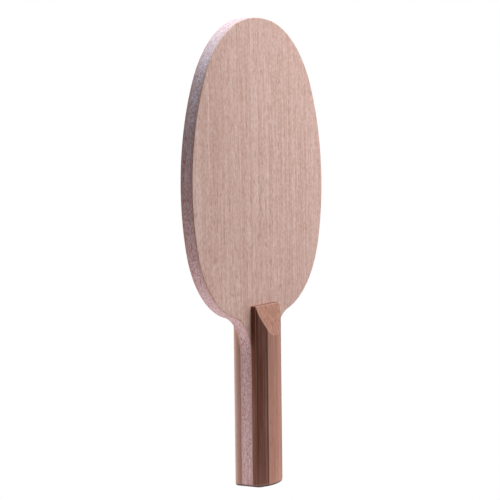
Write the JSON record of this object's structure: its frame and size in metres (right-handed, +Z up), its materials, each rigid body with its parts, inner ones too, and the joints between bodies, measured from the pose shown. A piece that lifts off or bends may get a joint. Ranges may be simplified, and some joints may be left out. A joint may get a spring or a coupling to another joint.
{
  "type": "table tennis paddle",
  "caption": "Bare wooden table tennis blade: plywood egg-shaped head and straight handle of two darker wood scales, each ending in a ramp.",
  "frame": {"origin": "middle of the handle's flat end", "axes": "+Z up along the blade from the handle's end to the tip of the head, +X to the right across the width as seen from the front, front face towards -Y"},
  "size_m": [0.15, 0.023, 0.257],
  "materials": {
    "core_wood": "sanded, speckled open grain",
    "medial_wood": "sanded, dark",
    "face_wood": "sanded, fine straight grain",
    "handle_wood": "sanded and waxed, straight grain along the handle"
  },
  "bodies": {
    "root": {"core_ply_board": "core_wood", "medial_veneer_front": "medial_wood", "medial_veneer_back": "medial_wood", "face_veneer_front": "face_wood", "face_veneer_back": "face_wood", "handle_scale_front": "handle_wood", "handle_scale_back": "handle_wood"}
  },
  "joints": []
}
